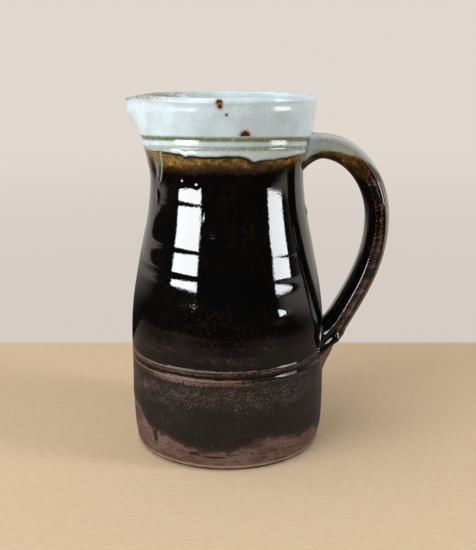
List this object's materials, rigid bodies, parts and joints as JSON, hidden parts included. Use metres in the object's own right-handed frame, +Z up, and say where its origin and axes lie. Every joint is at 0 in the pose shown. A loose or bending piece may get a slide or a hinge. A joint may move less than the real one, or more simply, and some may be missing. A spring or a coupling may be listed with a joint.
{
  "type": "stoneware jug",
  "caption": "Hand-thrown stoneware jug with a swelling belly, flared collar, pulled pouring lip and strap handle; glossy dark glaze below a pale glazed rim.",
  "frame": {"origin": "centre of the foot, on the surface that the jug stands on", "axes": "+Z up along the axis of the pot, +X out through the handle, -X out through the spout"},
  "size_m": [0.1641, 0.1232, 0.2208],
  "materials": {
    "clay": "bare fired stoneware, rough, toasted brown",
    "dark_glaze": "glossy black iron glaze that breaks to rust brown on edges",
    "amber_glaze": "glossy amber where the pale glaze overlaps the dark",
    "pale_glaze": "satin-gloss pale blue-grey glaze, green where it pools",
    "liner_glaze": "glossy dark brown liner"
  },
  "bodies": {
    "root": {"thrown_body": "clay", "handle_strap": "clay", "upper_slip_joint": "pale_glaze", "lower_slip_joint": "dark_glaze", "belly_glaze": "dark_glaze", "amber_glaze_band": "amber_glaze", "collar_glaze": "pale_glaze", "liner_glaze": "liner_glaze", "strap_dark_glaze": "dark_glaze", "strap_pale_glaze": "pale_glaze"}
  },
  "joints": []
}
